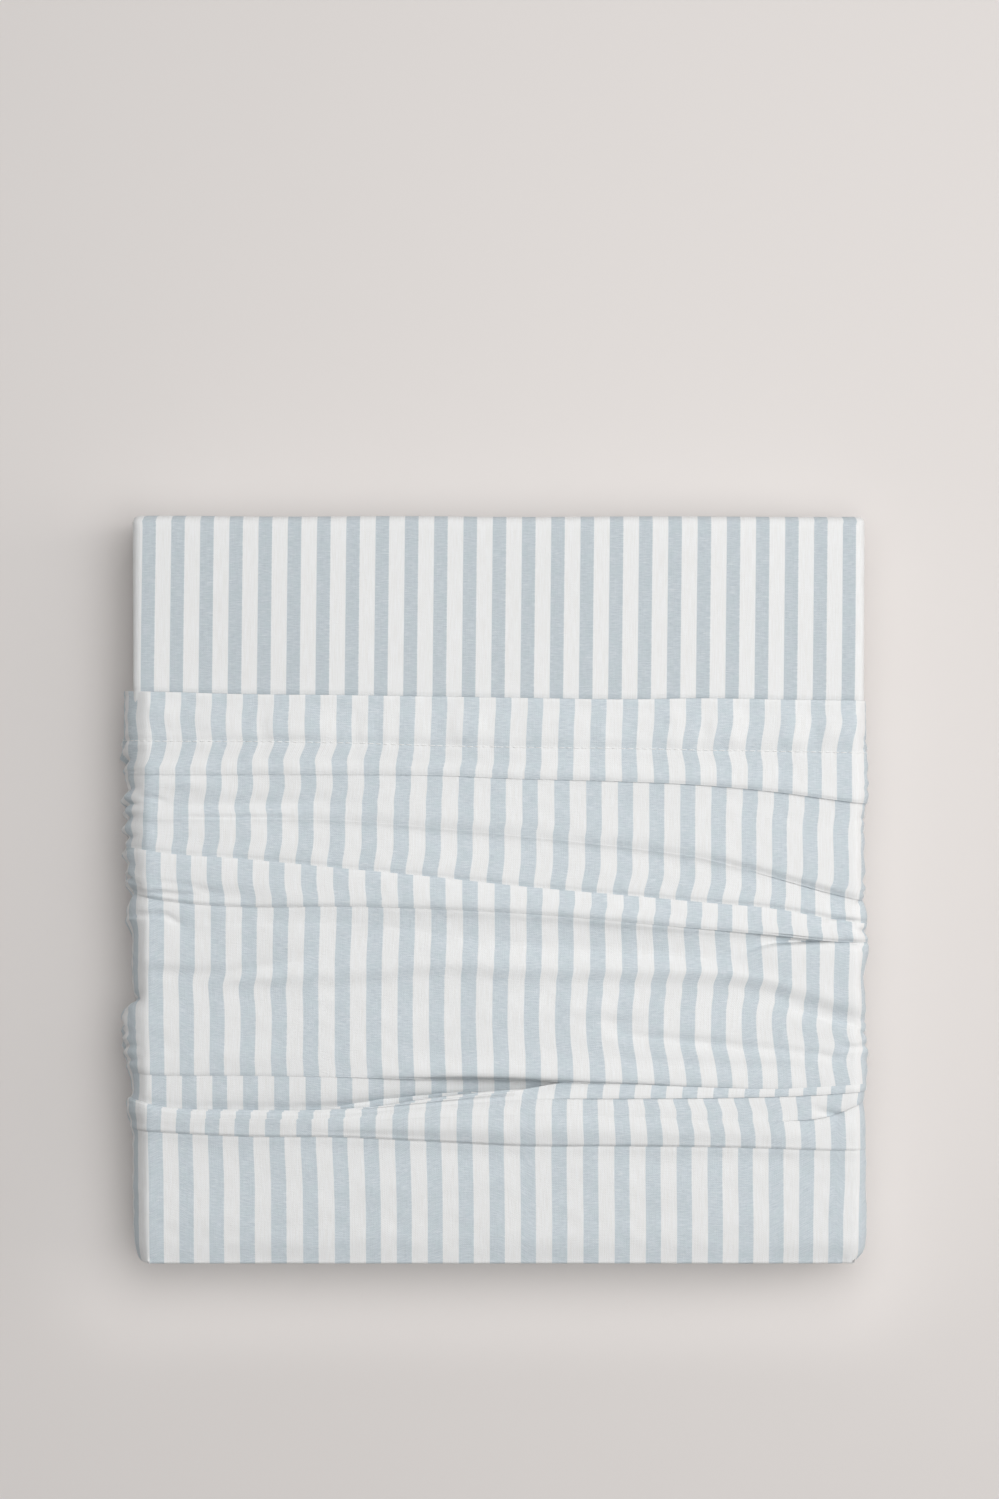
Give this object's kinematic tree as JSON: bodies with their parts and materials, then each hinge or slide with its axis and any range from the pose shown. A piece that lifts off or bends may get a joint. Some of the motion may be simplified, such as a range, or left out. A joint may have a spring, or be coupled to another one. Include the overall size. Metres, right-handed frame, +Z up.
{
  "type": "folded duvet cover in a matching cloth bag",
  "caption": "Striped cotton duvet cover folded back and forth into a flat square pack, most of it in a ruched, hemmed bag of the same cloth.",
  "frame": {"origin": "under the middle of the footprint, on the surface that the pack lies on", "axes": "+Z up, +Y along the stripes towards the bag's mouth and the bare end of the folded cover, +X across the stripes"},
  "size_m": [0.316, 0.3146, 0.0487],
  "materials": {
    "cover_cloth": "matt slubby plain weave with even stripes of pale grey-blue and off-white",
    "bag_cloth": "matt slubby plain weave with even stripes of pale grey-blue and off-white"
  },
  "bodies": {
    "root": {"duvet_cover": "cover_cloth", "cloth_bag": "bag_cloth"}
  },
  "joints": []
}
